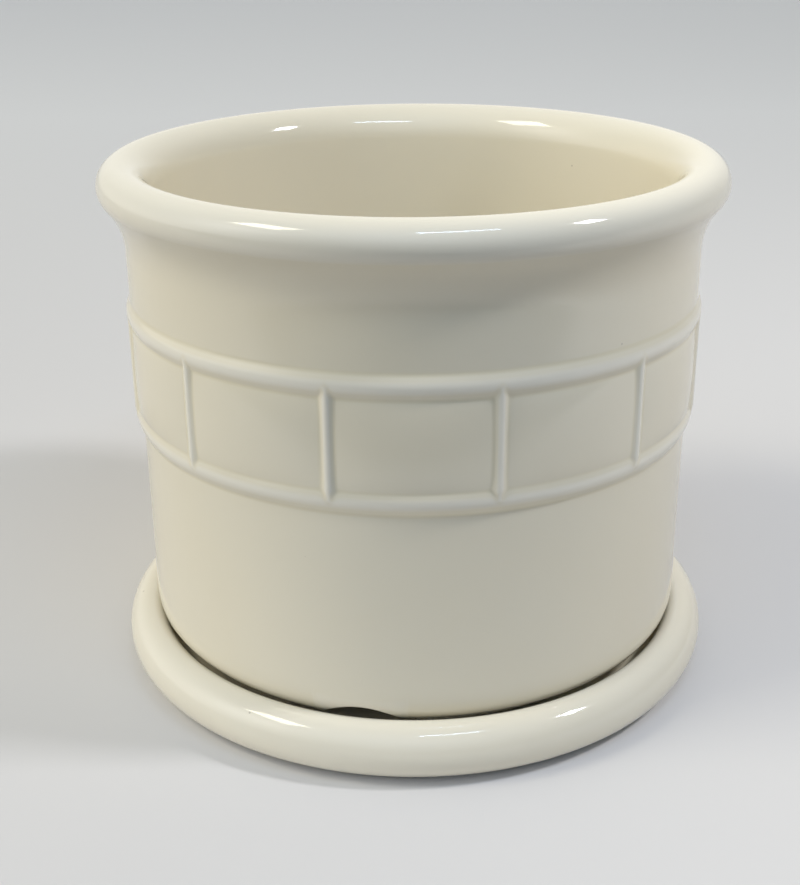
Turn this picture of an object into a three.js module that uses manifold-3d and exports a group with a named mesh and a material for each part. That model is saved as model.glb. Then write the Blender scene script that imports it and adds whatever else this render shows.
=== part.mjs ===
// A glazed stoneware planter and its saucer.
// The pot has a rolled rim, a raised band of two hoops with upright ribs between them, and a foot
// ring cut by drain arches. It stands loose on the floor of a round-rimmed saucer.
// Units are millimetres and +Z is up. The origin is on the table under the middle of the saucer,
// and the front of the planter faces -Y.

import * as THREE from "three";
import { mergeVertices } from "three/addons/utils/BufferGeometryUtils.js";
import Module from "manifold-3d";

const wasm = await Module();
wasm.setup();

// Pot: body and rim. Heights here are measured from the pot's own foot.
const LOWER_WALL_RADIUS = 73;
const WALL_STEP = 1.1; // how much further out the wall is above the band than below it
const WALL_THICKNESS = 7.5;
const INNER_DRAFT = 0.4; // how much the inside narrows on each side from the rim to the floor
const POT_HEIGHT = 130.85;
const RIM_OVERHANG = 5.9; // how far the rolled rim stands out from the wall under it
const RIM_ROLL_RADIUS = 5.55;
const RIM_FLARE_DEPTH = 9.2; // how far below its top the rim's inner side becomes the plain wall
const NECK_FILLET_RADIUS = 20;

// Pot: floor and foot
const HEEL_RADIUS = 8.5;
const FOOT_HEIGHT = 4.5; // how far the foot ring stands down from the heel
const FOOT_WIDTH = 4.5;
const FOOT_EDGE_RADIUS = 1.2;
const FOOT_OUTER_FILLET_RADIUS = 2; // between the heel and the foot ring
const FOOT_INNER_FILLET_RADIUS = 3; // between the foot ring and the floor's underside
const POT_FLOOR_THICKNESS = 6;
const INNER_CORNER_RADIUS = 8;
const DRAIN_HOLE_RADIUS = 9;
const DRAIN_EDGE_RADIUS = 1.5;

// Pot: drain arches through the foot ring
const ARCH_COUNT = 3;
const ARCH_WIDTH = 23;
const ARCH_HEIGHT = 10; // the arch goes up through the foot ring into the heel
const ARCH_HEADROOM = 1; // clay left between the top of an arch and the floor above it
const ARCH_TURN_DEGREES = -10.6; // the first arch, counted from the front towards +X

// Pot: raised band
const LOWER_HOOP_HEIGHT = 65.2;
const BAND_HEIGHT = 28.2; // from the middle of one hoop to the middle of the other
const HOOP_WIDTH = 6;
const HOOP_RELIEF = 1;
const PANEL_COUNT = 12;
const PANEL_CROWN = 0.8; // how far each panel swells between its ribs
const RIB_WIDTH = 3.4;
const RIB_RELIEF = 0.9;

// Saucer. Its dish is sized from the pot that stands in it.
const SAUCER_CLEARANCE = 1;
const SEAT_GAP = 0.3; // between the pot's foot and the saucer's floor
const ROLL_WIDTH = 7.3;
const ROLL_INNER_EDGE_RADIUS = 1.5;
const ROLL_LIFT = 1.2; // from the table to the lowest point of the rolled rim
const SAUCER_DEPTH = 9.5;
const SAUCER_FLOOR_THICKNESS = 4.5;
const SAUCER_CORNER_RADIUS = 3;
const SAUCER_FOOT_HEIGHT = 2;
const SAUCER_FOOT_RADIUS = 66;
const SAUCER_FOOT_WIDTH = 5.5;
const SAUCER_FOOT_EDGE_RADIUS = 1;
const ROLL_TUCK_DEGREES = 30; // how far the roll curls in under itself past its lowest point

// Smoothness of the round shapes
const PANEL_SEGMENTS = 6;
const TURN_SEGMENTS = PANEL_COUNT * PANEL_SEGMENTS;
const QUARTER_SEGMENTS = 5;
const ROLL_STEP_DEGREES = 90 / QUARTER_SEGMENTS;
const HOOP_SEGMENTS = 6;
const BAND_ROWS = 4;
const FILLET_SEGMENTS = 3;
const EDGE_SEGMENTS = 2;
const RIB_SEGMENTS = 4;
const ARCH_SEGMENTS = 12;

// Working distances: points nearer than the first are one point, and a cutter runs past the clay
// by the second.
const SAME_POINT = 1e-4;
const CUT_OVERRUN = 1;

// Radii and heights that follow from the sizes above, in the planter's frame
const UPPER_WALL_RADIUS = LOWER_WALL_RADIUS + WALL_STEP;
const RIM_RADIUS = UPPER_WALL_RADIUS + RIM_OVERHANG;
const RIM_CREST_RADIUS = RIM_RADIUS - RIM_ROLL_RADIUS;
const INNER_TOP_RADIUS = UPPER_WALL_RADIUS - WALL_THICKNESS;
const INNER_FLOOR_RADIUS = INNER_TOP_RADIUS - INNER_DRAFT;
const HEEL_CENTRE_RADIUS = LOWER_WALL_RADIUS - HEEL_RADIUS;
const FOOT_OUTER_RADIUS = HEEL_CENTRE_RADIUS - FOOT_OUTER_FILLET_RADIUS;
const FOOT_INNER_RADIUS = FOOT_OUTER_RADIUS - FOOT_WIDTH;
const SAUCER_FLOOR_Z = SAUCER_FOOT_HEIGHT + SAUCER_FLOOR_THICKNESS;
const POT_FOOT_Z = SAUCER_FLOOR_Z + SEAT_GAP;
const HEEL_BOTTOM_Z = POT_FOOT_Z + FOOT_HEIGHT;
const POT_UNDERSIDE_Z = POT_FOOT_Z + ARCH_HEIGHT + ARCH_HEADROOM;
const POT_FLOOR_Z = POT_UNDERSIDE_Z + POT_FLOOR_THICKNESS;
const POT_TOP_Z = POT_FOOT_Z + POT_HEIGHT;
const LOWER_HOOP_Z = POT_FOOT_Z + LOWER_HOOP_HEIGHT;
const UPPER_HOOP_Z = LOWER_HOOP_Z + BAND_HEIGHT;
const PANEL_BOTTOM_Z = LOWER_HOOP_Z + HOOP_WIDTH / 2;
const PANEL_TOP_Z = UPPER_HOOP_Z - HOOP_WIDTH / 2;
const SAUCER_INNER_RADIUS = LOWER_WALL_RADIUS + SAUCER_CLEARANCE;
const SAUCER_TOP_Z = SAUCER_FLOOR_Z + SAUCER_DEPTH;

const { degToRad, radToDeg, lerp } = THREE.MathUtils;

// Profile points round an arc with its centre at (r, z), both ends included. A second radius makes
// it part of an ellipse.
function arc(r, z, fromDegrees, toDegrees, steps, radiusR, radiusZ = radiusR) {
  const points = [];
  for (let i = 0; i <= steps; i++) {
    const angle = degToRad(lerp(fromDegrees, toDegrees, i / steps));
    points.push(new THREE.Vector2(r + radiusR * Math.cos(angle), z + radiusZ * Math.sin(angle)));
  }
  return points;
}

// Profile points down the outside of a rolled edge: the quarter turn from its top to its widest
// point, then the rest down to endDegrees.
function roll(r, z, endDegrees, radiusR, radiusZ = radiusR) {
  const under = Math.ceil(-endDegrees / ROLL_STEP_DEGREES);
  const fromTop = arc(r, z, 90, 0, QUARTER_SEGMENTS, radiusR, radiusZ);
  const curledIn = arc(r, z, 0, endDegrees, under, radiusR, radiusZ);
  return [...fromTop, ...curledIn];
}

// Profile points down the outside of a hoop, whose base runs from one radius to another.
function hoop(middleZ, topRadius, bottomRadius) {
  const points = [];
  for (let i = 0; i <= HOOP_SEGMENTS; i++) {
    const turn = (Math.PI * i) / HOOP_SEGMENTS;
    const down = (1 - Math.cos(turn)) / 2;
    const r = lerp(topRadius, bottomRadius, down) + HOOP_RELIEF * Math.sin(turn);
    points.push(new THREE.Vector2(r, middleZ + HOOP_WIDTH * (0.5 - down)));
  }
  return points;
}

// One profile from several runs of points, without the points that two runs share.
function joinRuns(...runs) {
  return runs.flat().filter((point, i, all) => i === 0 || point.distanceTo(all[i - 1]) > SAME_POINT);
}

// A profile turned round the Z axis, from the front on -Y. Its points run with the clay on their
// right, and the lathe wants the clay on their left, so they are taken backwards.
function turned(profile) {
  return new THREE.LatheGeometry([...profile].reverse(), TURN_SEGMENTS).rotateX(Math.PI / 2);
}

function toSolid(geometry) {
  const bare = geometry.clone();
  bare.deleteAttribute("normal");
  bare.deleteAttribute("uv");
  const merged = mergeVertices(bare, SAME_POINT);
  return new wasm.Manifold(
    new wasm.Mesh({
      numProp: 3,
      vertProperties: new Float32Array(merged.attributes.position.array),
      triVerts: new Uint32Array(merged.index.array),
    })
  );
}

function toGeometry(solid) {
  const mesh = solid.getMesh();
  const geometry = new THREE.BufferGeometry();
  geometry.setAttribute("position", new THREE.BufferAttribute(mesh.vertProperties, 3));
  geometry.setIndex(new THREE.BufferAttribute(mesh.triVerts, 1));
  geometry.computeVertexNormals();
  return geometry;
}

// The pot's wall, floor, foot and rim as one closed loop, starting at the drain hole and going
// out over the floor, up the inside, over the rim, down the outside and back under the floor.
function potProfile() {
  const rollZ = POT_TOP_Z - RIM_ROLL_RADIUS;
  const flareZ = POT_TOP_Z - RIM_FLARE_DEPTH;
  const flareWidth = RIM_CREST_RADIUS - INNER_TOP_RADIUS;
  const neckR = UPPER_WALL_RADIUS + NECK_FILLET_RADIUS;
  const neckReach = RIM_ROLL_RADIUS + NECK_FILLET_RADIUS;
  const neckDrop = Math.sqrt(neckReach ** 2 - (neckR - RIM_CREST_RADIUS) ** 2);
  const neckAngle = radToDeg(Math.asin(neckDrop / neckReach));
  const cornerR = INNER_FLOOR_RADIUS - INNER_CORNER_RADIUS;
  const cornerZ = POT_FLOOR_Z + INNER_CORNER_RADIUS;
  const outerFillet = FOOT_OUTER_FILLET_RADIUS;
  const innerFillet = FOOT_INNER_FILLET_RADIUS;
  const footEdge = FOOT_EDGE_RADIUS;
  const footEdgeZ = POT_FOOT_Z + footEdge;
  const drainR = DRAIN_HOLE_RADIUS + DRAIN_EDGE_RADIUS;
  const drainEdge = arc(drainR, POT_FLOOR_Z - DRAIN_EDGE_RADIUS, 180, 90, EDGE_SEGMENTS, DRAIN_EDGE_RADIUS);
  const bandRows = [];
  for (let i = 1; i < BAND_ROWS; i++) {
    bandRows.push(new THREE.Vector2(UPPER_WALL_RADIUS, lerp(PANEL_TOP_Z, PANEL_BOTTOM_Z, i / BAND_ROWS)));
  }
  return joinRuns(
    drainEdge,
    arc(cornerR, cornerZ, -90, 0, FILLET_SEGMENTS, INNER_CORNER_RADIUS),
    arc(RIM_CREST_RADIUS, flareZ, 180, 90, QUARTER_SEGMENTS, flareWidth, RIM_FLARE_DEPTH),
    roll(RIM_CREST_RADIUS, rollZ, -neckAngle, RIM_ROLL_RADIUS),
    arc(neckR, rollZ - neckDrop, 180 - neckAngle, 180, FILLET_SEGMENTS, NECK_FILLET_RADIUS),
    hoop(UPPER_HOOP_Z, UPPER_WALL_RADIUS, UPPER_WALL_RADIUS),
    bandRows,
    hoop(LOWER_HOOP_Z, UPPER_WALL_RADIUS, LOWER_WALL_RADIUS),
    arc(HEEL_CENTRE_RADIUS, HEEL_BOTTOM_Z + HEEL_RADIUS, 0, -90, QUARTER_SEGMENTS, HEEL_RADIUS),
    arc(HEEL_CENTRE_RADIUS, HEEL_BOTTOM_Z - outerFillet, 90, 180, EDGE_SEGMENTS, outerFillet),
    arc(FOOT_OUTER_RADIUS - footEdge, footEdgeZ, 0, -90, EDGE_SEGMENTS, footEdge),
    arc(FOOT_INNER_RADIUS + footEdge, footEdgeZ, -90, -180, EDGE_SEGMENTS, footEdge),
    arc(FOOT_INNER_RADIUS - innerFillet, POT_UNDERSIDE_Z - innerFillet, 0, 90, FILLET_SEGMENTS, innerFillet),
    arc(drainR, POT_UNDERSIDE_Z + DRAIN_EDGE_RADIUS, -90, -180, EDGE_SEGMENTS, DRAIN_EDGE_RADIUS),
    [drainEdge[0].clone()]
  );
}

// Swells the band's outside between the ribs: each panel is highest in its middle and dies out
// at its four edges.
function crownPanels(geometry) {
  const height = PANEL_TOP_Z - PANEL_BOTTOM_Z;
  const position = geometry.attributes.position;
  const point = new THREE.Vector3();
  for (let i = 0; i < position.count; i++) {
    point.fromBufferAttribute(position, i);
    const r = Math.hypot(point.x, point.y);
    const outside = r > UPPER_WALL_RADIUS - WALL_THICKNESS / 2;
    if (outside && point.z < PANEL_TOP_Z && point.z > PANEL_BOTTOM_Z) {
      const turn = Math.atan2(point.x, -point.y) / (2 * Math.PI);
      const across = Math.abs(Math.cos(Math.PI * PANEL_COUNT * turn));
      const up = Math.sin((Math.PI * (point.z - PANEL_BOTTOM_Z)) / height);
      const swell = 1 + (PANEL_CROWN * Math.sqrt(across * up)) / r;
      position.setXYZ(i, point.x * swell, point.y * swell, point.z);
    }
  }
  return geometry;
}

// A half-round upright rib from the middle of one hoop to the middle of the other, on the wall at
// an angle from the front, with its root sunk in the wall.
function rib(degrees) {
  const root = WALL_THICKNESS / 2;
  const section = new THREE.Shape();
  section.moveTo(-RIB_WIDTH / 2, -root);
  section.lineTo(RIB_WIDTH / 2, -root);
  section.lineTo(RIB_WIDTH / 2, 0);
  section.absellipse(0, 0, RIB_WIDTH / 2, RIB_RELIEF, 0, Math.PI);
  const bar = new THREE.ExtrudeGeometry(section, {
    depth: BAND_HEIGHT,
    steps: 1,
    curveSegments: RIB_SEGMENTS / 2,
    bevelEnabled: false,
  });
  bar.rotateZ(Math.PI);
  bar.translate(0, -UPPER_WALL_RADIUS, LOWER_HOOP_Z);
  return bar.rotateZ(degToRad(degrees));
}

// The block that cuts one drain arch: a half-ellipse standing on the foot's plane, run out from
// inside the foot ring to past the wall.
function archCutter(degrees) {
  const inner = FOOT_INNER_RADIUS - CUT_OVERRUN;
  const opening = new THREE.Shape();
  opening.moveTo(-ARCH_WIDTH / 2, -CUT_OVERRUN);
  opening.lineTo(ARCH_WIDTH / 2, -CUT_OVERRUN);
  opening.lineTo(ARCH_WIDTH / 2, 0);
  opening.absellipse(0, 0, ARCH_WIDTH / 2, ARCH_HEIGHT, 0, Math.PI);
  const block = new THREE.ExtrudeGeometry(opening, {
    depth: LOWER_WALL_RADIUS + CUT_OVERRUN - inner,
    steps: 1,
    curveSegments: ARCH_SEGMENTS / 2,
    bevelEnabled: false,
  });
  block.rotateX(Math.PI / 2);
  block.translate(0, -inner, POT_FOOT_Z);
  return block.rotateZ(degToRad(degrees));
}

function potGeometry() {
  let pot = toSolid(crownPanels(turned(potProfile())));
  for (let i = 0; i < PANEL_COUNT; i++) {
    pot = pot.add(toSolid(rib((360 / PANEL_COUNT) * (i + 0.5))));
  }
  for (let i = 0; i < ARCH_COUNT; i++) {
    pot = pot.subtract(toSolid(archCutter(ARCH_TURN_DEGREES + (360 / ARCH_COUNT) * i)));
  }
  return toGeometry(pot);
}

// The saucer's profile from the middle of its floor, up the dish's straight side, out over the
// half-round roll and back under to the axis.
function saucerProfile() {
  const innerEdge = ROLL_INNER_EDGE_RADIUS;
  const rollR = SAUCER_INNER_RADIUS + innerEdge;
  const rollHalfHeight = (SAUCER_TOP_Z - ROLL_LIFT) / 2;
  const rollZ = ROLL_LIFT + rollHalfHeight;
  const corner = Math.min(SAUCER_CORNER_RADIUS, SAUCER_DEPTH - innerEdge);
  const rim = roll(rollR, rollZ, -90 - ROLL_TUCK_DEGREES, ROLL_WIDTH - innerEdge, rollHalfHeight);
  const tuckZ = rim.at(-1).y;
  const edge = SAUCER_FOOT_EDGE_RADIUS;
  const footInner = SAUCER_FOOT_RADIUS - SAUCER_FOOT_WIDTH;
  return joinRuns(
    [new THREE.Vector2(0, SAUCER_FLOOR_Z)],
    arc(SAUCER_INNER_RADIUS - corner, SAUCER_FLOOR_Z + corner, -90, 0, FILLET_SEGMENTS, corner),
    arc(rollR, SAUCER_TOP_Z - innerEdge, 180, 90, EDGE_SEGMENTS, innerEdge),
    rim,
    arc(SAUCER_FOOT_RADIUS + edge, tuckZ - edge, 90, 180, EDGE_SEGMENTS, edge),
    arc(SAUCER_FOOT_RADIUS - edge, edge, 0, -90, EDGE_SEGMENTS, edge),
    arc(footInner + edge, edge, -90, -180, EDGE_SEGMENTS, edge),
    [new THREE.Vector2(footInner, SAUCER_FOOT_HEIGHT), new THREE.Vector2(0, SAUCER_FOOT_HEIGHT)]
  );
}

// Stoneware under a glossy ivory glaze
function ivoryGlaze(colour) {
  return new THREE.MeshStandardMaterial({ color: colour, roughness: 0.18, metalness: 0 });
}

const potMesh = new THREE.Mesh(potGeometry(), ivoryGlaze(0xddd6c4));
potMesh.name = "pot";

const saucerMesh = new THREE.Mesh(turned(saucerProfile()), ivoryGlaze(0xe0dac8));
saucerMesh.name = "saucer";

const planter = new THREE.Group();
planter.add(saucerMesh, potMesh);

export default planter;
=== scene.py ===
"""The looks of a glazed stoneware planter that stands loose in its saucer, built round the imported
CAD model as a fixed frame.

The pot and the saucer are each one closed surface, worked out with numpy as a profile carried
round the Z axis. Work inside the shape functions is in millimetres, and a mesh is in metres.
The front of the planter faces -Y, and a turn is counted in degrees from the front towards +X.
"""

import math
from types import SimpleNamespace

import bpy
import numpy as np
from bpy.props import FloatProperty, FloatVectorProperty, PointerProperty
from mathutils import Matrix, Vector


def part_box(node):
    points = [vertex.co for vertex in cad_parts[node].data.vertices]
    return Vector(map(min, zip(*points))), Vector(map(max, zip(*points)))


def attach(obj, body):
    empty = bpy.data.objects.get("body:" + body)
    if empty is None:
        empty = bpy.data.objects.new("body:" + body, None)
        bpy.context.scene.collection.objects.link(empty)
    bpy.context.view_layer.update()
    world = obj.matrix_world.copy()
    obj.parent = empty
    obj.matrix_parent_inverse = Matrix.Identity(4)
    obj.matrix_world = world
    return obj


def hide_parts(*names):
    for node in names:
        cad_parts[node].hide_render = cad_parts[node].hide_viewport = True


bl_info = {
    "name": "Planter with saucer",
    "version": (1, 0, 0),
    "blender": (4, 5, 0),
    "location": "View3D > Sidebar > Planter",
    "description": "Builds a glazed stoneware planter, its saucer and a plain studio",
    "category": "Add Mesh",
}

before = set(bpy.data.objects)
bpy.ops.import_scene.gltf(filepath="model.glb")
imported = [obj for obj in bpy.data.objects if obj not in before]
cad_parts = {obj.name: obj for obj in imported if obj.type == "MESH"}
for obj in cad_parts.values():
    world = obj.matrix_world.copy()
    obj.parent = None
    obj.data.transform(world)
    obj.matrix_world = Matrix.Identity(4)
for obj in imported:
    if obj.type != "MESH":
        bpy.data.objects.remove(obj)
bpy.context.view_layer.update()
POT_LOW, POT_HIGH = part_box("pot")
SAUCER_LOW, SAUCER_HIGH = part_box("saucer")

MM = 1000  # millimetres in a metre
PANELS = 12  # on the band, with a rib between each two
ARCHES = 3  # cut up through the pot's foot ring to drain it
COLUMNS = 384  # round the pot, a whole number for each panel and each drain arch
SAUCER_COLUMNS = 256
EVENING = 8  # passes that even out the points of the foot

# The rows that shape the pot's foot start on the wall this far above it and end on the floor's
# underside this far inside the foot ring's fillet, in millimetres.
WALL_LOW = 26
UNDER_RUN = 4

# How far the foot's rows lie from its lower edge, in millimetres: the same on both sides near the
# edge, then further apart up the heel and the wall, and up the ring's inner side. The rows across
# the sole are shares of its width.
EDGE_ROWS = (0, 0.3, 0.6, 0.9, 1.3, 1.8)
HEEL_ROWS = (2.5, 3.3, 4.2, 5.1, 5.8, 6.5, 7.5, 9, 11, 13, 15.5, 18, 20.5, 23.5, 27, 31)
INNER_ROWS = (2.5, 3.4, 4.4, 5.5, 6.5, 7.5, 8.5, 9.5, 10.5, 11.5, 13, 15)
SOLE_ROWS = (0.06, 0.13, 0.22, 0.34, 0.5, 0.66, 0.78, 0.87, 0.94)

# The widths of the glaze's patterns in metres.
DRIFT_WIDTH = 0.06
WAVE_WIDTH = 0.025
PEEL_WIDTH = 0.0015
SPECK_CELL = 0.012
WIPED_LINE_WIDTH = 0.008
GRIT_WIDTH = 0.0007

# Each lamp's distance from the planter in metres, then its turn from the front, its rise above
# the level, its width and its height in degrees. The highlights on the glaze gave their places.
LAMPS = {
    "left": (2.4, -70, 51, 18, 12),
    "right": (0.8, 76, 45, 7, 7),
    "middle": (0.45, 20, 58, 20, 3),
}
LAMP_AIM = (0, 0, 0.1)  # metres, inside the pot

# The soft light of the room. Each lobe has its turn from the front and its rise above the level in
# degrees, its sharpness, its strength and the name of its colour.
ROOM_LOBES = (
    (-90, 0, 3, 1.43, "left"),
    (-70, 30, 20, 2.1, "left"),
    (0, 45, 6, 1.05, "front"),
    (180, 0, 3, 0.98, "back"),
    (135, 45, 6, 0.63, "above"),
    (-135, 45, 6, 0.18, "above"),
)

FLOOR_HALF = 6.0  # metres from the planter to each side of the floor

# The camera that fits the photograph's outlines of the rim, the wall and the saucer.
CAMERA_PLACE = (0, -0.351416, 0.203467)  # metres
CAMERA_PITCH = 22.677  # degrees, down from the level
CAMERA_YAW = -0.628
CAMERA_ROLL = -0.471
FOCAL_LENGTH = 1369.4  # pixels
PICTURE_WIDTH = 800  # pixels
SENSOR_WIDTH = 36  # millimetres


def linear(hex_value):
    """An sRGB hex colour as linear red, green, blue and alpha."""
    srgb = [int(hex_value[i : i + 2], 16) / 255 for i in (1, 3, 5)]
    return [c / 12.92 if c <= 0.04045 else ((c + 0.055) / 1.055) ** 2.4 for c in srgb] + [1]


def length(name, description, metres):
    """A property that holds a length in metres."""
    return FloatProperty(
        name=name, description=description, default=metres, min=0, precision=5, unit="LENGTH"
    )


def angle(name, description, degrees):
    """A property that holds an angle."""
    return FloatProperty(
        name=name, description=description, default=math.radians(degrees), subtype="ANGLE"
    )


def colour(name, description, hex_value):
    """A property that holds a colour, given as sRGB hex."""
    return FloatVectorProperty(
        name=name, description=description, default=linear(hex_value), size=4, min=0, max=1,
        subtype="COLOR",
    )


def power(name, description, watts):
    """A property that holds a lamp's power."""
    return FloatProperty(name=name, description=description, default=watts, min=0, unit="POWER")


class PotSizes(bpy.types.PropertyGroup):
    """Sizes of the pot"""

    top: length("Top", "Height of the rim's top above the table", POT_HIGH.z)
    foot: length("Foot", "Height of the foot ring above the table", POT_LOW.z)
    rim_radius: length("Rim radius", "Widest radius of the rolled rim", POT_HIGH.x)
    rim_roll: length("Rim roll", "Radius of the rim's rounded outer side", 0.00555)
    rim_flare: length("Rim flare", "Depth over which the rim's inner side flares out", 0.0092)
    neck: length("Neck", "Radius of the hollow under the rim", 0.020)
    upper_wall: length("Upper wall", "Radius of the wall above the band", 0.0741)
    lower_wall: length("Lower wall", "Radius of the wall below the band", 0.073)
    inner_top: length("Inside at the top", "Radius inside, under the rim", 0.0666)
    inner_floor: length("Inside at the floor", "Radius inside, above the floor", 0.0662)
    floor_top: length("Floor top", "Height of the inside floor above the table", 0.0238)
    floor_under: length("Floor underside", "Height of the floor's underside", 0.0178)
    inner_corner: length("Inner corner", "Rounding between the floor and the wall", 0.008)
    drain: length("Drain hole", "Radius of the drain hole", 0.009)
    drain_edge: length("Drain edge", "Rounding of the drain hole's edges", 0.0015)
    heel: length("Heel", "Rounding where the wall turns in to the foot", 0.0085)
    foot_height: length("Foot height", "How far the foot ring stands down from the heel", 0.0045)
    foot_inner: length("Foot ring inside", "Inner radius of the foot ring", 0.058)
    foot_edge: length("Foot edge", "Rounding of the foot ring's edges", 0.0012)
    outer_fillet: length("Outer fillet", "Rounding between the heel and the foot ring", 0.002)
    inner_fillet: length("Inner fillet", "Rounding between the foot ring and the floor", 0.003)
    arch_width: length("Arch width", "Width of a drain arch", 0.023)
    arch_height: length("Arch height", "Height of a drain arch", 0.01)
    arch_edge: length("Arch edge", "Rounding of a drain arch's edges", 0.0008)
    arch_turn: angle("Arch turn", "Turn of the first drain arch from the front", -10.6)
    lower_hoop: length("Lower hoop", "Height of the lower hoop above the table", 0.072)
    upper_hoop: length("Upper hoop", "Height of the upper hoop above the table", 0.1002)
    hoop_width: length("Hoop width", "Width of a raised hoop at its foot", 0.0064)
    hoop_relief: length("Hoop relief", "How far a hoop stands out", 0.001)
    rib_width: length("Rib width", "Width of an upright rib at its foot", 0.0038)
    rib_relief: length("Rib relief", "How far a rib stands out", 0.0009)
    crown: length("Panel crown", "How far each panel swells between its ribs", 0.0008)


class SaucerSizes(bpy.types.PropertyGroup):
    """Sizes of the saucer"""

    radius: length("Radius", "Widest radius of the rolled rim", SAUCER_HIGH.x)
    crest: length("Crest", "Radius of the rolled rim's top", 0.075)
    top: length("Top", "Height of the rolled rim's top", 0.0152)
    lift: length("Lift", "Height of the rolled rim's lowest point", 0.001)
    inside: length("Inside", "Radius of the dish's upright side", 0.071)
    inner_drop: length("Inner drop", "Depth of the rim's rounded inner side", 0.004)
    floor_top: length("Floor top", "Height of the dish's floor", 0.0065)
    floor_under: length("Floor underside", "Height of the floor's underside", 0.002)
    corner: length("Corner", "Rounding between the dish's floor and side", 0.003)
    foot_outer: length("Foot ring outside", "Outer radius of the foot ring", 0.066)
    foot_inner: length("Foot ring inside", "Inner radius of the foot ring", 0.0605)
    foot_edge: length("Foot edge", "Rounding of the foot ring's edges", 0.001)


class GlazeLook(bpy.types.PropertyGroup):
    """Colours and marks of the glaze"""

    body: colour("Glaze", "Ivory of the even glaze", "#E6DFCA")
    warm: colour("Warm drift", "Ivory where the firing left it warmer", "#E6DCC2")
    # Paler over sharp edges, where the glaze runs thin: a painted highlight.
    thin: colour("Thin glaze", "Where the glaze runs thin over an edge", "#EDE8DA")
    pooled: colour("Pooled glaze", "Where the glaze gathers in a hollow", "#DDD3B4")
    speck: colour("Specks", "Iron specks in the clay", "#8C7F6B")
    clay: colour("Bare clay", "The foot rings, wiped free of glaze", "#CFC4AE")
    waviness: length("Waviness", "Height of the slow unevenness of the glaze", 0.00006)
    peel: length("Peel", "Height of the fine unevenness of the glaze", 0.000004)


class StageLook(bpy.types.PropertyGroup):
    """Colours and powers of the studio"""

    floor: colour("Floor", "Plain pale floor round the planter", "#D9D7D5")
    # Far floor: painted light, the paper painted paler towards the back where the lamps' light
    # falls off.
    far_floor_painted_light: colour("Far floor", "The floor towards the back, which is paler", "#EDEDEC")
    dark: colour("Dark front", "What the planter sees beyond the table's front edge", "#282828")
    left: colour("From the left", "Soft light of the room from the left", "#FFFEFA")
    front: colour("From the front", "Soft light of the room from above the camera", "#C4DDFF")
    back: colour("From the back", "Soft light of the room from behind the planter", "#FFFEF6")
    above: colour("From above", "Soft light of the room from above, behind the planter", "#FFF9EB")
    left_lamp: colour("Left lamp", "Warm lamp on the left", "#FFF8E2")
    left_power: power("Left lamp power", "Power of the lamp on the left", 13)
    right_lamp: colour("Right lamp", "White lamp on the right", "#FAFAFF")
    right_power: power("Right lamp power", "Power of the lamp on the right", 2.75)
    middle_lamp: colour("Middle lamp", "Cool lamp above the camera", "#CAE3FF")
    middle_power: power("Middle lamp power", "Power of the lamp above the camera", 0.22)


def in_mm(group):
    """The lengths of a property group in millimetres, and its angles in degrees."""
    sizes = {}
    for name, prop in group.bl_rna.properties.items():
        if prop.type == "FLOAT" and not prop.is_array:
            value = getattr(group, name)
            sizes[name] = math.degrees(value) if prop.subtype == "ANGLE" else value * MM
    return SimpleNamespace(**sizes)


def arc(r, z, start, end, count, radius_r, radius_z=None):
    """Profile points round part of an ellipse, both ends included: the centre (r, z) plus the two
    radii times the cosine and the sine of count even angles, in degrees."""
    turn = np.radians(np.linspace(start, end, count))
    radius_z = radius_r if radius_z is None else radius_z
    return np.stack([r + radius_r * np.cos(turn), z + radius_z * np.sin(turn)], axis=1)


def line(start, end, count):
    """Profile points inside a straight run, both ends left out: start plus an even share of the
    way to end."""
    share = np.linspace(0, 1, count + 2)[1:-1, None]
    return np.array(start) * (1 - share) + np.array(end) * share


def smooth_step(value, low, high):
    """0 up to low, 1 past high, and 3t^2 - 2t^3 of the share t of the way in between. The value
    may run down from low to high."""
    t = np.clip((value - low) / (high - low), 0, 1)
    return t * t * (3 - 2 * t)


def rounded_max(a, b, radius):
    """The larger of two distances, with a quarter circle of that radius where both are near
    zero: each plus the radius, the root of the sum of their squares, less the radius."""
    corner = np.hypot(np.maximum(a + radius, 0), np.maximum(b + radius, 0))
    return np.minimum(-radius, np.maximum(a, b)) + corner


def even_turns():
    """The turn of each column, evenly spaced, from -180 to 180 degrees."""
    return np.arange(COLUMNS) * 360 / COLUMNS - 180


def band_turns():
    """The turn of each column at the band. Within each panel the columns follow the running sum
    of a density that is 1 plus a bell curve on each rib, so that they crowd on the ribs."""
    crowding = 5
    bell = 1.7  # degrees
    samples = 14401  # forty to a degree
    pitch = 360 / PANELS
    fine = np.linspace(-180, 180, samples)
    off_rib = np.mod(fine, pitch) - pitch / 2
    density = 1 + crowding * np.exp(-((off_rib / bell) ** 2))
    total = np.concatenate([[0], np.cumsum((density[1:] + density[:-1]) / 2)])
    return np.interp(np.arange(COLUMNS) / COLUMNS, total / total[-1], fine)


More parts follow.
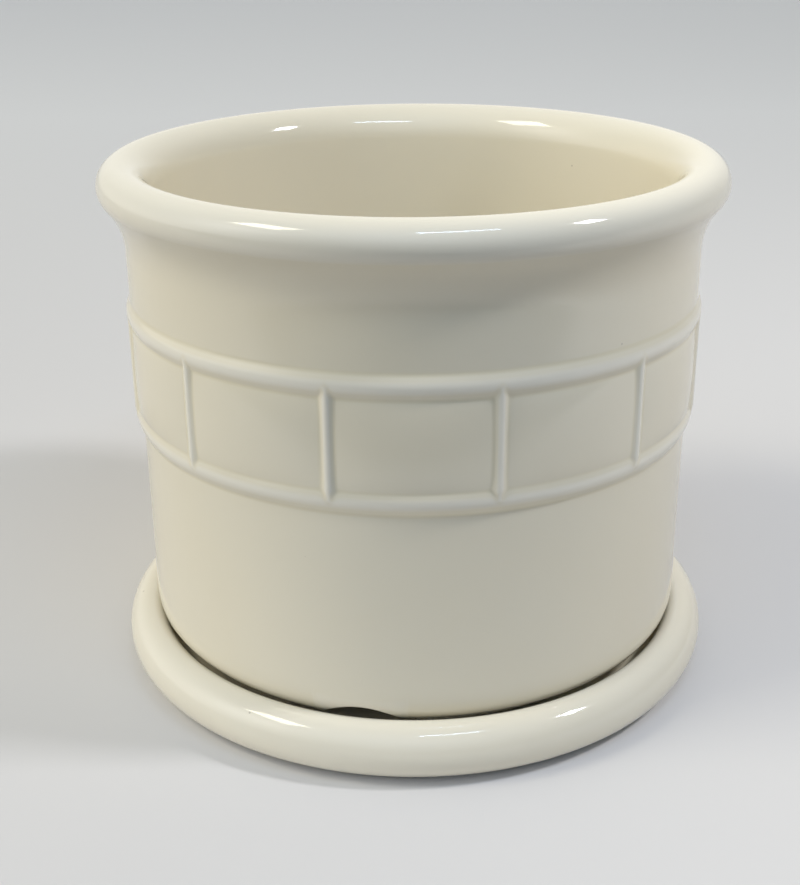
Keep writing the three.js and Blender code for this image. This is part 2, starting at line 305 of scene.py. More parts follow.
def foot_columns(pot, turns, outer):
    """Where each column meets the foot line, which runs flat round the foot ring and over each
    drain arch, a half ellipse cut into the outer path's clay. A column's share of half the way
    from arch to arch is its share of that line's length, counted more at the arch's corner by a
    bell curve. Returns each column's turn from its arch's middle, that middle's turn, the line's
    height, and the radius at which the turns hold."""
    crowding = 3
    bell = 1.6  # millimetres
    samples = 400
    reference = outer[0, 0]
    rise = np.linspace(0, math.pi / 2, samples)
    arch_turn = np.arcsin(pot.arch_width / 2 * np.sin(rise) / reference)
    flat_turn = np.linspace(arch_turn[-1], math.pi / ARCHES, samples)[1:]
    turn = np.concatenate([arch_turn, flat_turn])
    height = np.concatenate([pot.arch_height * np.cos(rise), np.zeros(len(flat_turn))])
    out = np.interp(pot.foot + height, outer[:, 1], outer[:, 0])
    step = np.sqrt((np.diff(turn) * reference) ** 2 + np.diff(height) ** 2 + np.diff(out) ** 2)
    along = np.concatenate([[0], np.cumsum(step)])
    corner = along[samples - 1]
    weight = 1 + crowding * np.exp(-(((along - corner) / bell) ** 2))
    total = np.concatenate([[0], np.cumsum(step * (weight[1:] + weight[:-1]) / 2)])
    pitch = 360 / ARCHES
    middle = pot.arch_turn + pitch * np.round((turns - pot.arch_turn) / pitch)
    off = turns - middle
    reach = np.abs(off) / (pitch / 2) * total[-1]
    foot_off = np.sign(off) * np.interp(reach, total, turn)
    return np.degrees(foot_off), middle, pot.foot + np.interp(reach, total, height), reference


def turned_at(off, middle, r, reference):
    """A foot column's turn at radius r. Beside an arch the column keeps its distance from the
    arch's middle plane, so its turn is the arcsine of that distance over r, and further off it
    keeps its turn."""
    beside_until, clear_from, widest = 15, 35, 80  # degrees from the arch's middle
    across = reference * np.sin(np.radians(np.clip(off, -widest, widest)))
    beside = np.degrees(np.arcsin(np.clip(across / r, -1, 1)))
    return middle + off + (beside - off) * (1 - smooth_step(np.abs(off), beside_until, clear_from))


def foot_distance(pot, x, y, z):
    """Distance out of the pot's clay near its foot, at x across an arch's middle plane, y along it
    and height z. The clay is inside the wall and its round heel or inside the foot ring's outer
    face, which a fillet joins. It is outside the ring's inner face or above the floor's underside,
    which another fillet joins, and above the foot's plane. The arch, half an ellipse, is cut out
    of it, and its edges are rounded. With s the length of x and the height over the foot, each in
    shares of the ellipse's radius that way, the distance from the arch is s (s - 1) over the
    length of both once more divided by those radii."""
    r = np.hypot(x, y)
    heel_r = pot.lower_wall - pot.heel
    heel_z = pot.foot + pot.foot_height + pot.heel
    heel = np.hypot(np.maximum(r - heel_r, 0), np.maximum(heel_z - z, 0)) - pot.heel
    ring = r - (heel_r - pot.outer_fillet)
    outer = -rounded_max(-heel, -ring, pot.outer_fillet)
    inner = -rounded_max(r - pot.foot_inner, z - pot.floor_under, pot.inner_fillet)
    section = rounded_max(rounded_max(outer, pot.foot - z, pot.foot_edge), inner, pot.foot_edge)
    half, tall = pot.arch_width / 2, pot.arch_height
    up = np.maximum(z - pot.foot, 0)
    scaled = np.hypot(x / half, up / tall)
    steepness = np.maximum(np.hypot(x / half**2, up / tall**2), 1e-6)
    arch = scaled * (scaled - 1) / steepness
    return rounded_max(section, -arch, pot.arch_edge)


def settle(pot, x, y, z, times):
    """Moves points onto the rounded foot: that many times, each goes back along the gradient of
    the distance by the distance over the gradient's squared length. That counts as at least
    least_slope, so that no point is thrown off."""
    nudge = 1e-3  # millimetres
    least_slope = 0.2
    for _ in range(times):
        here = foot_distance(pot, x, y, z)
        slope = [
            (foot_distance(pot, x + nudge, y, z) - here) / nudge,
            (foot_distance(pot, x, y + nudge, z) - here) / nudge,
            (foot_distance(pot, x, y, z + nudge) - here) / nudge,
        ]
        back = here / np.maximum(sum(s * s for s in slope), least_slope)
        x, y, z = x - back * slope[0], y - back * slope[1], z - back * slope[2]
    return x, y, z


def run_along(path, starts, offsets, near):
    """Points on a path at offsets from where its height is starts, one column for each start.
    Offsets up to near are true lengths, and the rest share out what is left of the path evenly,
    so that the last offset reaches its end."""
    along = np.concatenate([[0], np.cumsum(np.linalg.norm(np.diff(path, axis=0), axis=1))])
    begin = np.interp(starts, path[:, 1], along)
    left = along[-1] - begin - near
    past = np.maximum(offsets - near, 0)[:, None] / (offsets[-1] - near)
    at = begin + np.minimum(offsets, near)[:, None] + past * left
    return np.interp(at, along, path[:, 0]), np.interp(at, along, path[:, 1])


def foot_rows(pot, turns):
    """The pot's rows from the lower wall round the foot ring to the underside, as turn, radius and
    height of each point. Each column runs down the wall and the heel to the foot line, across the
    clay at that height, and up the ring's inner side. Then all are settled on the rounded foot."""
    heel_r = pot.lower_wall - pot.heel
    heel_z = pot.foot + pot.foot_height
    ring_r = heel_r - pot.outer_fillet
    outer = np.vstack([
        [[ring_r, pot.foot]],
        arc(heel_r, heel_z - pot.outer_fillet, 180, 90, 40, pot.outer_fillet),
        arc(heel_r, heel_z + pot.heel, -90, 0, 80, pot.heel)[1:],
        [[pot.lower_wall, pot.foot + WALL_LOW]],
    ])
    off, middle, edge, reference = foot_columns(pot, turns, outer)
    fillet_r = pot.foot_inner - pot.inner_fillet
    inner = np.vstack([
        [[pot.foot_inner, pot.foot]],
        arc(fillet_r, pot.floor_under - pot.inner_fillet, 0, 90, 40, pot.inner_fillet),
        [[fillet_r - UNDER_RUN, pot.floor_under]],
    ])
    outer_r, outer_z = run_along(outer, edge, np.array(EDGE_ROWS + HEEL_ROWS), EDGE_ROWS[-1])
    inner_r, inner_z = run_along(inner, edge, np.array(EDGE_ROWS + INNER_ROWS), EDGE_ROWS[-1])
    across = np.array(SOLE_ROWS)[:, None]
    sole_r = outer_r[0] * (1 - across) + inner_r[0] * across
    sole_z = np.repeat(edge[None], len(across), axis=0)
    r = np.vstack([outer_r[::-1], sole_r, inner_r])
    z = np.vstack([outer_z[::-1], sole_z, inner_z])
    turn = np.radians(turned_at(off, middle, r, reference) - middle)
    x, y, z = settle(pot, r * np.sin(turn), r * np.cos(turn), z, times=5)
    for _ in range(EVENING):
        x, y, z = evened(middle, x, y, z)
        x, y, z = settle(pot, x, y, z, times=2)
    return middle + np.degrees(np.arctan2(x, y)), np.hypot(x, y), z


def evened(middle, x, y, z):
    """Points a third of the way to the mean of their four neighbours, the first and last rows
    kept. Each column's points are counted from its own arch's middle plane, so they are turned
    into one frame to be averaged and back again."""
    turn = np.radians(middle)
    points = np.stack([x * np.cos(turn) + y * np.sin(turn), y * np.cos(turn) - x * np.sin(turn), z])
    mean = (points[:, :-2] + points[:, 2:]
            + np.roll(points, 1, axis=2)[:, 1:-1] + np.roll(points, -1, axis=2)[:, 1:-1]) / 4
    points[:, 1:-1] += (mean - points[:, 1:-1]) / 3
    across, ahead, z = points
    return (across * np.cos(turn) - ahead * np.sin(turn),
            ahead * np.cos(turn) + across * np.sin(turn), z)


def softened(distance, width, relief):
    """A raised line's height at a distance across it: its relief times half of one plus the cosine
    of the way out, which reaches its foot at half the width, to a power under one, so that the
    glaze rounds its crest and fills its foot."""
    fullness = 0.65
    out = np.clip(np.abs(distance) / (width / 2), 0, 1)
    return relief * (0.5 + 0.5 * np.cos(math.pi * out)) ** fullness


def band_relief(pot, turns, z):
    """How far the band stands out at each turn and height. Two hoops run round, a rib stands
    between each two panels, and a panel swells as the root of the product of two half waves. The
    three are joined as the sixth root of the sum of their sixth powers."""
    joining = 6
    hoops = softened(z - pot.upper_hoop, pot.hoop_width, pot.hoop_relief)
    hoops = hoops + softened(z - pot.lower_hoop, pot.hoop_width, pot.hoop_relief)
    pitch = 360 / PANELS
    from_rib = np.radians(np.mod(turns, pitch) - pitch / 2) * pot.upper_wall
    within = (z < pot.upper_hoop) & (z > pot.lower_hoop)
    ribs = softened(from_rib, pot.rib_width, pot.rib_relief) * within
    low = pot.lower_hoop + pot.hoop_width / 2
    high = pot.upper_hoop - pot.hoop_width / 2
    up = np.sin(math.pi * np.clip((z - low) / (high - low), 0, 1))
    across = np.abs(np.cos(math.pi * turns / pitch))
    panel = pot.crown * np.sqrt(across * up)
    return (hoops**joining + ribs**joining + panel**joining) ** (1 / joining)


def pot_surface(pot):
    """The pot as one closed grid of points, rows along its profile and columns round it. The
    profile starts at the drain hole and goes out over the floor, up the inside, over the rim,
    down the outside, round the foot and back under the floor. Its radius at the band is the
    plain wall's plus the band's relief. The columns are evenly spaced in the pot, crowd on the
    ribs at the band, and crowd at the arches' corners at the foot, with a smooth step between."""
    crest = pot.rim_radius - pot.rim_roll
    roll_z = pot.top - pot.rim_roll
    flare_z = pot.top - pot.rim_flare
    neck_r = pot.upper_wall + pot.neck
    reach = pot.rim_roll + pot.neck
    drop = math.sqrt(reach**2 - (neck_r - crest) ** 2)
    bend = math.degrees(math.asin(drop / reach))
    drain_r = pot.drain + pot.drain_edge
    edge = pot.drain_edge
    corner_r = pot.inner_floor - pot.inner_corner
    corner_z = pot.floor_top + pot.inner_corner
    wall_low = pot.foot + WALL_LOW
    under_r = pot.foot_inner - pot.inner_fillet - UNDER_RUN
    even_under = 20  # the radius under the floor within which the columns are even again
    band_low = pot.lower_hoop - pot.hoop_width
    band_high = pot.upper_hoop + pot.hoop_width
    crowding_run = 22  # above the band, where the columns draw together towards the ribs
    hoop_foot = pot.hoop_width / 2 + 0.6  # from a hoop's middle to where its close rows end
    inside = np.vstack([
        arc(drain_r, pot.floor_top - edge, 180, 90, 6, edge),
        line([drain_r, pot.floor_top], [corner_r, pot.floor_top], 9),
        arc(corner_r, corner_z, -90, 0, 9, pot.inner_corner),
        line([pot.inner_floor, corner_z], [pot.inner_top, flare_z], 13),
        arc(crest, flare_z, 180, 90, 16, crest - pot.inner_top, pot.rim_flare),
    ])
    outside = np.vstack([
        arc(crest, roll_z, 90, -bend, 24, pot.rim_roll)[1:],
        arc(neck_r, roll_z - drop, 180 - bend, 180, 12, pot.neck)[1:],
        line([pot.upper_wall, roll_z - drop], [pot.upper_wall, band_high], 4),
    ])
    band_z = np.concatenate([
        np.linspace(band_high, pot.upper_hoop - hoop_foot, 24),
        np.linspace(pot.upper_hoop - hoop_foot, pot.lower_hoop + hoop_foot, 14)[1:-1],
        np.linspace(pot.lower_hoop + hoop_foot, band_low, 24),
    ])
    wall = line([pot.lower_wall, band_low], [pot.lower_wall, wall_low], 9)
    under = np.vstack([
        line([under_r, pot.floor_under], [drain_r, pot.floor_under], 8),
        arc(drain_r, pot.floor_under + edge, -90, -180, 6, edge),
    ])

    even = even_turns()
    banded = band_turns()
    foot_turn, foot_r, foot_z = foot_rows(pot, even)

    def block(profile, turns):
        """The turn, radius and height of each point where a profile meets the columns."""
        shape = (len(profile), COLUMNS)
        r = np.broadcast_to(profile[:, :1], shape)
        z = np.broadcast_to(profile[:, 1:], shape)
        return np.broadcast_to(turns, shape), r, z

    to_band = smooth_step(outside[:, 1], band_high + crowding_run, band_high)[:, None]
    step_down = np.clip((pot.lower_hoop + pot.hoop_width / 2 - band_z) / pot.hoop_width, 0, 1)
    plain = pot.upper_wall + (pot.lower_wall - pot.upper_wall) * step_down
    band = block(np.stack([plain, band_z], axis=1), banded)
    band = (band[0], band[1] + band_relief(pot, band[0], band[2]), band[2])
    to_foot = smooth_step(wall[:, 1], band_low, wall_low)[:, None]
    to_even = smooth_step(under[:, 0], under_r, even_under)[:, None]
    blocks = [
        block(inside, even),
        block(outside, even + (banded - even) * to_band),
        band,
        block(wall, banded + (foot_turn[0] - banded) * to_foot),
        (foot_turn, foot_r, foot_z),
        block(under, foot_turn[-1] + (even - foot_turn[-1]) * to_even),
    ]
    turn, r, z = (np.vstack(part) for part in zip(*blocks))
    turn = np.radians(turn)
    return np.stack([r * np.sin(turn), -r * np.cos(turn), z], axis=-1) / MM


def saucer_surface(saucer):
    """The saucer as a grid of points from the middle of its floor, up the dish's side, over the
    rolled rim and back under the foot ring to the middle. The rim is a quarter of an ellipse
    inside its crest and more than half of another outside. Each point is (r sin t, -r cos t, z)
    of a profile point (r, z) and an even turn t. Returns the grid in metres, and the heights of
    the two middles that close it."""
    tuck = -122  # degrees, where the rim's roll ends under the saucer
    same_point = 1e-3  # millimetres
    crest = saucer.crest
    half = (saucer.top - saucer.lift) / 2
    roll = arc(crest, saucer.lift + half, 90, tuck, 40, saucer.radius - crest, half)
    shoulder_z = saucer.top - saucer.inner_drop
    edge = saucer.foot_edge
    corner = saucer.corner
    tuck_z = roll[-1, 1]
    outer, inner = saucer.foot_outer, saucer.foot_inner
    profile = np.vstack([
        line([0, saucer.floor_top], [saucer.inside - corner, saucer.floor_top], 12),
        arc(saucer.inside - corner, saucer.floor_top + corner, -90, 0, 9, corner),
        line([saucer.inside, saucer.floor_top + corner], [saucer.inside, shoulder_z], 2),
        arc(crest, shoulder_z, 180, 90, 16, crest - saucer.inside, saucer.inner_drop),
        roll[1:],
        line(roll[-1], [outer + edge, tuck_z], 3),
        arc(outer + edge, tuck_z - edge, 90, 180, 6, edge),
        arc(outer - edge, edge, 0, -90, 6, edge),
        line([outer - edge, 0], [inner + edge, 0], 3),
        arc(inner + edge, edge, -90, -180, 6, edge),
        arc(inner - edge, saucer.floor_under - edge, 0, 90, 6, edge),
        line([inner - edge, saucer.floor_under], [0, saucer.floor_under], 10),
    ])
    gaps = np.linalg.norm(np.diff(profile, axis=0), axis=1)
    profile = profile[np.concatenate([[True], gaps > same_point])]
    turn = np.arange(SAUCER_COLUMNS) * 2 * math.pi / SAUCER_COLUMNS
    r, z = profile[:, :1], profile[:, 1:]
    points = np.stack([r * np.sin(turn), -r * np.cos(turn), z + 0 * turn], axis=-1)
    return points / MM, saucer.floor_top / MM, saucer.floor_under / MM


def glaze_depth(points, closed):
    """How deep the glaze lies at each grid point, from -1 where it runs thin over a sharp edge to 1
    where it gathers in a hollow: a radius of 4 mm times the bend of the surface, along its columns
    plus along its rows. The bend is twice the sum of the sines of the angles at which the two
    neighbours lie above the point, over the sum of their distances, which counts as at least 0.3
    mm. It is evened out over the neighbours."""
    full_radius = 0.004
    least_span = 3e-4
    passes = 3

    def beside(grid):
        """Each point's neighbours before and after it, then to its left and right."""
        pad = [(1, 1)] + [(0, 0)] * (grid.ndim - 1)
        tall = np.pad(grid, pad, mode="wrap" if closed else "edge")
        return tall[:-2], tall[2:], np.roll(grid, 1, axis=1), np.roll(grid, -1, axis=1)

    before, after, left, right = (grid - points for grid in beside(points))
    normal = np.cross(after - before, right - left)
    normal /= np.linalg.norm(normal, axis=-1, keepdims=True).clip(1e-12)

    def bend(a, b):
        """The bend between the neighbours that lie at a and b from each point."""
        far_a = np.linalg.norm(a, axis=-1).clip(1e-6)
        far_b = np.linalg.norm(b, axis=-1).clip(1e-6)
        above = np.sum(a * normal, axis=-1) / far_a + np.sum(b * normal, axis=-1) / far_b
        return 2 * above / (far_a + far_b).clip(least_span)

    # Below 0, where the glaze runs thin over an edge, the glaze's colour gets a painted highlight.
    depth = np.clip((bend(left, right) + bend(before, after)) * full_radius, -1, 1)
    for _ in range(passes):
        depth = (4 * depth + sum(beside(depth))) / 8
    return depth


def add_mesh(name, points, faces, depth):
    """A mesh object at the origin with its glaze depth stored on its points, which also places the
    painted edge highlight.
    """
    mesh = bpy.data.meshes.new(name)
    mesh.from_pydata(points.tolist(), [], faces)
    mesh.validate()
    stored = mesh.attributes.new("glaze_depth", "FLOAT", "POINT")
    stored.data.foreach_set("value", depth.astype(np.float32))
    mesh.shade_smooth()
    piece = bpy.data.objects.new(name, mesh)
    bpy.context.scene.collection.objects.link(piece)
    return piece


def grid_quads(rows, columns, closed):
    """Quads between neighbouring rows and columns of a grid whose columns close on themselves,
    and whose rows do too where closed is true."""
    row = np.arange(rows if closed else rows - 1)[:, None]
    column = np.arange(columns)[None]
    after = (row + 1) % rows
    beside = (column + 1) % columns
    corners = [row * columns + column, after * columns + column,
               after * columns + beside, row * columns + beside]
    return np.stack(np.broadcast_arrays(*corners), axis=-1).reshape(-1, 4)


def add_node(tree, kind, inputs=None, **settings):
    """A shader node with its settings. Each input is a value, or an output that is linked to it."""
    made = tree.nodes.new(kind)
    for name, value in settings.items():
        setattr(made, name, value)
    for key, value in (inputs or {}).items():
        if isinstance(value, bpy.types.NodeSocket):
            tree.links.new(value, made.inputs[key])
        else:
            made.inputs[key].default_value = value
    return made


def new_material(name):
    """An empty node material and its tree."""
    made = bpy.data.materials.new(name)
    made.use_nodes = True
    made.node_tree.nodes.clear()
    return made, made.node_tree


def ivory_glaze(name, look, foot):
    """Stoneware, dipped in an ivory glaze and fired glossy, on a piece whose foot ring stands at
    the height foot.

    The glaze is an opaque glass. It gives the eye a creamy body colour under a clear, sharp
    reflection that a slow unevenness bends a little. Over a sharp edge, where the glaze runs thin,
    it is painted paler as a painted highlight, and it is yellower where the glaze gathers; iron
    specks from the clay show through here and there, and the foot ring is wiped bare so that it
    can't stick to the kiln shelf.
    """
    made, tree = new_material(name)
    place = add_node(tree, "ShaderNodeTexCoord").outputs["Object"]
    # The firing leaves the colour to drift slowly over the pot.
    drift = add_node(
        tree, "ShaderNodeTexNoise", {"Vector": place, "Scale": 1 / DRIFT_WIDTH, "Detail": 2.0}
    )
    base = add_node(
        tree, "ShaderNodeMix", {"Factor": drift.outputs["Fac"], 6: look.body, 7: look.warm},
        data_type="RGBA",
    )
    depth = add_node(
        tree, "ShaderNodeAttribute", attribute_name="glaze_depth", attribute_type="GEOMETRY"
    ).outputs["Fac"]
    # Only a sharp edge is paler, a painted highlight where the glaze runs thin, and only a real
    # hollow yellower, neither of them all the way.
    edge_highlight_share = add_node(
        tree, "ShaderNodeMapRange",
        {"Value": depth, "From Min": -0.35, "From Max": -1.0, "To Min": 0.0, "To Max": 0.7},
    )
    thin = add_node(
        tree, "ShaderNodeMix",
        {"Factor": edge_highlight_share.outputs["Result"], 6: base.outputs[2], 7: look.thin},
        data_type="RGBA",
    )
    pooled_share = add_node(
        tree, "ShaderNodeMapRange",
        {"Value": depth, "From Min": 0.15, "From Max": 1.0, "To Min": 0.0, "To Max": 0.8},
    )
    pooled = add_node(
        tree, "ShaderNodeMix",
        {"Factor": pooled_share.outputs["Result"], 6: thin.outputs[2], 7: look.pooled},
        data_type="RGBA",
    )
    # A speck of about 0.5 mm in every other cell that has its middle at the surface. The speck's
    # soft edge runs from 0.03 to 0.016 of a cell's width.
    cells = add_node(tree, "ShaderNodeTexVoronoi", {"Vector": place, "Scale": 1 / SPECK_CELL})
    chance = add_node(tree, "ShaderNodeSeparateColor", {"Color": cells.outputs["Color"]})
    chosen = add_node(
        tree, "ShaderNodeMath", {0: chance.outputs["Red"], 1: 0.5}, operation="GREATER_THAN"
    )
    dot = add_node(
        tree, "ShaderNodeMapRange",
        {"Value": cells.outputs["Distance"], "From Min": 0.03, "From Max": 0.016,
         "To Min": 0.0, "To Max": 0.5},
    )
    speck_share = add_node(
        tree, "ShaderNodeMath", {0: chosen.outputs[0], 1: dot.outputs["Result"]},
        operation="MULTIPLY",
    )
    specked = add_node(
        tree, "ShaderNodeMix",
        {"Factor": speck_share.outputs[0], 6: pooled.outputs[2], 7: look.speck},
        data_type="RGBA",
    )
    # The wiped line round the foot wanders by a few tenths of a millimetre, and the glaze ends
    # there over 0.2 mm. The bare clay shows a fine grit in a darker shade of its own colour.
    line_wander = 0.0006  # metres
    glazed_above, bare_under = 0.00042, 0.00022  # metres above the foot
    grit_shade = 0.82
    height = add_node(tree, "ShaderNodeSeparateXYZ", {"Vector": place}).outputs["Z"]
    line_noise = add_node(
        tree, "ShaderNodeTexNoise", {"Vector": place, "Scale": 1 / WIPED_LINE_WIDTH}
    )
    wandering = add_node(
        tree, "ShaderNodeMath", {0: line_noise.outputs["Fac"], 1: line_wander, 2: height},
        operation="MULTIPLY_ADD",
    )
    bare = add_node(
        tree, "ShaderNodeMapRange",
        {"Value": wandering.outputs[0], "From Min": foot + glazed_above,
         "From Max": foot + bare_under, "To Min": 0.0, "To Max": 1.0},
    ).outputs["Result"]
    grit = add_node(tree, "ShaderNodeTexNoise", {"Vector": place, "Scale": 1 / GRIT_WIDTH})
    gritty = [c * grit_shade for c in look.clay[:3]] + [1]
    clay = add_node(
        tree, "ShaderNodeMix", {"Factor": grit.outputs["Fac"], 6: look.clay, 7: gritty},
        data_type="RGBA",
    )
    colour_out = add_node(
        tree, "ShaderNodeMix", {"Factor": bare, 6: specked.outputs[2], 7: clay.outputs[2]},
        data_type="RGBA",
    )
    # Glossy where it is glazed, and rough where the clay is bare.
    roughness = add_node(
        tree, "ShaderNodeMapRange",
        {"Value": bare, "From Min": 0.0, "From Max": 1.0, "To Min": 0.07, "To Max": 0.8},
    )
    # The melted glaze lies in slow waves with a fine orange peel on them.
    slow = add_node(
        tree, "ShaderNodeTexNoise", {"Vector": place, "Scale": 1 / WAVE_WIDTH, "Detail": 1.0}
    )
    fine = add_node(tree, "ShaderNodeTexNoise", {"Vector": place, "Scale": 1 / PEEL_WIDTH})
    waves = add_node(
        tree, "ShaderNodeBump",
        {"Height": slow.outputs["Fac"], "Strength": 1.0, "Distance": look.waviness},
    )
    peel = add_node(
        tree, "ShaderNodeBump",
        {"Height": fine.outputs["Fac"], "Strength": 1.0, "Distance": look.peel,
         "Normal": waves.outputs["Normal"]},
    )
    shader = add_node(
        tree, "ShaderNodeBsdfPrincipled",
        {"Base Color": colour_out.outputs[2], "Roughness": roughness.outputs["Result"],
         "IOR": 1.52, "Normal": peel.outputs["Normal"]},
    )
    add_node(tree, "ShaderNodeOutputMaterial", {"Surface": shader.outputs[0]})
    return made


def plain_paper(look):
    """Matt seamless paper, laid flat. It gives the eye an even pale ground with soft shadows, and
    it is painted a little paler towards the back: painted light where the lamps' light falls off.

    The planter stands near the front edge of its table, so hardly any light comes back to it from
    there. The camera sees the paper go on, and every other ray finds the dark room.
    """
    paler_from, palest_from = 0.1, 0.9  # metres behind the planter's middle
    table_end, dark_from = -0.2, -0.26
    made, tree = new_material("seamless_paper")
    place = add_node(tree, "ShaderNodeTexCoord").outputs["Object"]
    away = add_node(tree, "ShaderNodeSeparateXYZ", {"Vector": place}).outputs["Y"]
    # Painted light: the paper is painted paler towards the back.
    far = add_node(
        tree, "ShaderNodeMapRange",
        {"Value": away, "From Min": paler_from, "From Max": palest_from, "To Min": 0.0,
         "To Max": 1.0},
    )
    paper = add_node(
        tree, "ShaderNodeMix", {"Factor": far.outputs["Result"], 6: look.floor, 7: look.far_floor_painted_light},
        data_type="RGBA",
    )
    front = add_node(
        tree, "ShaderNodeMapRange",
        {"Value": away, "From Min": table_end, "From Max": dark_from, "To Min": 0.0,
         "To Max": 1.0},
    )
    seen = add_node(tree, "ShaderNodeLightPath").outputs["Is Camera Ray"]
    unseen = add_node(tree, "ShaderNodeMath", {0: 1.0, 1: seen}, operation="SUBTRACT")
    dark_share = add_node(
        tree, "ShaderNodeMath", {0: front.outputs["Result"], 1: unseen.outputs[0]},
        operation="MULTIPLY",
    )
    ground = add_node(
        tree, "ShaderNodeMix",
        {"Factor": dark_share.outputs[0], 6: paper.outputs[2], 7: look.dark},
        data_type="RGBA",
    )
    shader = add_node(
        tree, "ShaderNodeBsdfPrincipled",
        {"Base Color": ground.outputs[2], "Roughness": 0.95, "Specular IOR Level": 0.1},
    )
    add_node(tree, "ShaderNodeOutputMaterial", {"Surface": shader.outputs[0]})
    return made


def finish_piece(piece, material, node, body):
    """Gives a piece its material and ties it to the frame."""
    piece.data.materials.append(material)
    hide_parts(node)
    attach(piece, body)


class PLANTER_OT_pot(bpy.types.Operator):
    """Build the glazed pot with its rolled rim, raised band and drain arches"""

    bl_idname = "planter.pot"
    bl_label = "Pot"

    def execute(self, context):
        scene = context.scene
        points = pot_surface(in_mm(scene.planter_pot))
        depth = glaze_depth(points, closed=True)
        rows, columns, _ = points.shape
        faces = grid_quads(rows, columns, closed=True).tolist()
        piece = add_mesh("pot_glazed", points.reshape(-1, 3), faces, depth.ravel())
        material = ivory_glaze("ivory_glaze_on_pot", scene.planter_glaze, POT_LOW.z)
        finish_piece(piece, material, "pot", "pot")
        return {"FINISHED"}


class PLANTER_OT_saucer(bpy.types.Operator):
    """Build the glazed saucer with its rounded rim and foot ring"""

    bl_idname = "planter.saucer"
    bl_label = "Saucer"

    def execute(self, context):
        scene = context.scene
        points, floor_top, floor_under = saucer_surface(in_mm(scene.planter_saucer))
        depth = glaze_depth(points, closed=False)
        rows, columns, _ = points.shape
        faces = grid_quads(rows, columns, closed=False).tolist()
        # A fan of triangles closes the grid at each end, at the middle of the dish's floor and of
        # its underside.
        count = rows * columns
        last = count - columns
        here = np.arange(columns)
        beside = (here + 1) % columns
        top_fan = np.stack([here, beside, np.full(columns, count)], axis=1)
        under_fan = np.stack([last + beside, last + here, np.full(columns, count + 1)], axis=1)
        faces += top_fan.tolist() + under_fan.tolist()
        middles = [[0, 0, floor_top], [0, 0, floor_under]]
        points = np.vstack([points.reshape(-1, 3), middles])
        depth = np.concatenate([depth.ravel(), [0, 0]])
        piece = add_mesh("saucer_glazed", points, faces, depth)
        material = ivory_glaze("ivory_glaze_on_saucer", scene.planter_glaze, SAUCER_LOW.z)
        finish_piece(piece, material, "saucer", "saucer")
        return {"FINISHED"}


def add_lamp(name, distance, turn, rise, wide, tall, watts, tint):
    """A rectangular lamp that faces the planter from a distance in metres, placed by its turn from
    the front and its rise above the level. Its width and height are as seen from the planter. All
    four are in degrees."""
    turn, rise, wide, tall = (math.radians(v) for v in (turn, rise, wide, tall))
    data = bpy.data.lights.new(name, "AREA")
    data.shape = "RECTANGLE"
    data.size, data.size_y = wide * distance, tall * distance
    data.energy = watts
    data.color = tint[:3]
    lamp = bpy.data.objects.new(name, data)
    level = math.cos(rise)
    out = Vector((math.sin(turn) * level, -math.cos(turn) * level, math.sin(rise)))
    lamp.location = Vector(LAMP_AIM) + out * distance
    lamp.rotation_euler = out.to_track_quat("Z", "Y").to_euler()
    bpy.context.scene.collection.objects.link(lamp)


def room_light(look):
    """A world lit by the room's soft lobes. Each gives its colour times its strength, times the
    cosine of the way off its middle to the power of its sharpness."""
    world = bpy.data.worlds.new("soft_room_light")
    world.use_nodes = True
    tree = world.node_tree
    tree.nodes.clear()
    towards = add_node(tree, "ShaderNodeTexCoord").outputs["Generated"]
    total = (0, 0, 0)
    for turn, rise, sharpness, strength, side in ROOM_LOBES:
        tint = getattr(look, side)
        turn, rise = math.radians(turn), math.radians(rise)
        level = math.cos(rise)
        middle = (math.sin(turn) * level, -math.cos(turn) * level, math.sin(rise))
        cosine = add_node(
            tree, "ShaderNodeVectorMath", {0: towards, 1: middle}, operation="DOT_PRODUCT"
        ).outputs["Value"]
        ahead = add_node(
            tree, "ShaderNodeMath", {0: cosine, 1: 0.0}, operation="MAXIMUM"
        ).outputs[0]
        share = add_node(
            tree, "ShaderNodeMath", {0: ahead, 1: sharpness}, operation="POWER"
        ).outputs[0]
        total = add_node(
            tree, "ShaderNodeVectorMath",
            {0: [c * strength for c in tint[:3]], 1: share, 2: total}, operation="MULTIPLY_ADD",
        ).outputs[0]
    light = add_node(tree, "ShaderNodeBackground", {"Color": total, "Strength": 1.0})
    add_node(tree, "ShaderNodeOutputWorld", {"Surface": light.outputs[0]})
    return world


def add_floor(look):
    """A square of paper under the planter, which is no part of it."""
    half = FLOOR_HALF
    mesh = bpy.data.meshes.new("floor")
    corners = [(-half, -half, 0), (half, -half, 0), (half, half, 0), (-half, half, 0)]
    mesh.from_pydata(corners, [], [(0, 1, 2, 3)])
    floor = bpy.data.objects.new("floor", mesh)
    bpy.context.scene.collection.objects.link(floor)
    mesh.materials.append(plain_paper(look))


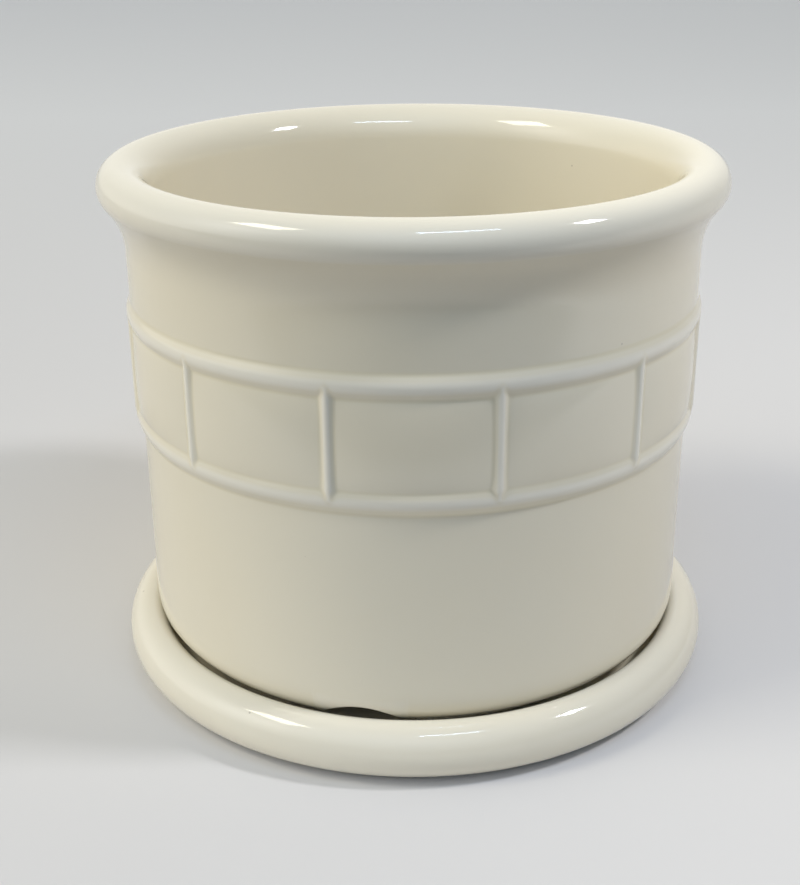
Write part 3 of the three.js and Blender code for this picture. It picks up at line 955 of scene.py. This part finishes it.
def add_camera():
    """The camera at its place, turned by its yaw, tilted down by its pitch and then rolled. Its
    lens is the sensor's width times the focal length over the picture's width."""
    pitch, yaw, roll = (math.radians(v) for v in (CAMERA_PITCH, CAMERA_YAW, CAMERA_ROLL))
    ahead = Vector((math.sin(yaw) * math.cos(pitch), math.cos(yaw) * math.cos(pitch),
                    -math.sin(pitch)))
    level = Vector((math.cos(yaw), -math.sin(yaw), 0))
    upright = level.cross(ahead)
    right = math.cos(roll) * level + math.sin(roll) * upright
    up = -math.sin(roll) * level + math.cos(roll) * upright
    data = bpy.data.cameras.new("camera")
    data.sensor_fit = "HORIZONTAL"
    data.sensor_width = SENSOR_WIDTH
    data.lens = SENSOR_WIDTH * FOCAL_LENGTH / PICTURE_WIDTH
    camera = bpy.data.objects.new("camera", data)
    turned = Matrix([right, up, -ahead]).transposed().to_4x4()
    camera.matrix_world = Matrix.Translation(CAMERA_PLACE) @ turned
    bpy.context.scene.collection.objects.link(camera)
    return camera


class PLANTER_OT_stage(bpy.types.Operator):
    """Build the plain floor, the lamps, the room's soft light and the camera"""

    bl_idname = "planter.stage"
    bl_label = "Studio"

    def execute(self, context):
        scene = context.scene
        look = scene.planter_stage
        add_floor(look)
        for side, place in LAMPS.items():
            watts, tint = getattr(look, f"{side}_power"), getattr(look, f"{side}_lamp")
            add_lamp(f"lamp_{side}", *place, watts, tint)
        scene.world = room_light(look)
        scene.camera = add_camera()
        scene.view_settings.view_transform = "Standard"
        return {"FINISHED"}


class PLANTER_PT_panel(bpy.types.Panel):
    """Lists the planter's pieces, sizes and colours"""

    bl_label = "Planter"
    bl_idname = "PLANTER_PT_panel"
    bl_space_type = "VIEW_3D"
    bl_region_type = "UI"
    bl_category = "Planter"

    def draw(self, context):
        for operator in OPERATORS:
            self.layout.operator(operator.bl_idname)
        for name in GROUPS:
            group = getattr(context.scene, name)
            box = self.layout.box()
            box.label(text=group.bl_rna.description)
            for prop in group.bl_rna.properties:
                if prop.type == "FLOAT":
                    box.prop(group, prop.identifier)


OPERATORS = (PLANTER_OT_pot, PLANTER_OT_saucer, PLANTER_OT_stage)
GROUPS = {
    "planter_pot": PotSizes,
    "planter_saucer": SaucerSizes,
    "planter_glaze": GlazeLook,
    "planter_stage": StageLook,
}


def register():
    for group in GROUPS.values():
        bpy.utils.register_class(group)
    for name, group in GROUPS.items():
        setattr(bpy.types.Scene, name, PointerProperty(type=group))
    for kind in (*OPERATORS, PLANTER_PT_panel):
        bpy.utils.register_class(kind)


def unregister():
    for kind in (PLANTER_PT_panel, *reversed(OPERATORS)):
        bpy.utils.unregister_class(kind)
    for name, group in GROUPS.items():
        delattr(bpy.types.Scene, name)
        bpy.utils.unregister_class(group)


def main():
    register()
    bpy.ops.planter.stage()
    bpy.ops.planter.pot()
    bpy.ops.planter.saucer()


if __name__ == "__main__":
    main()
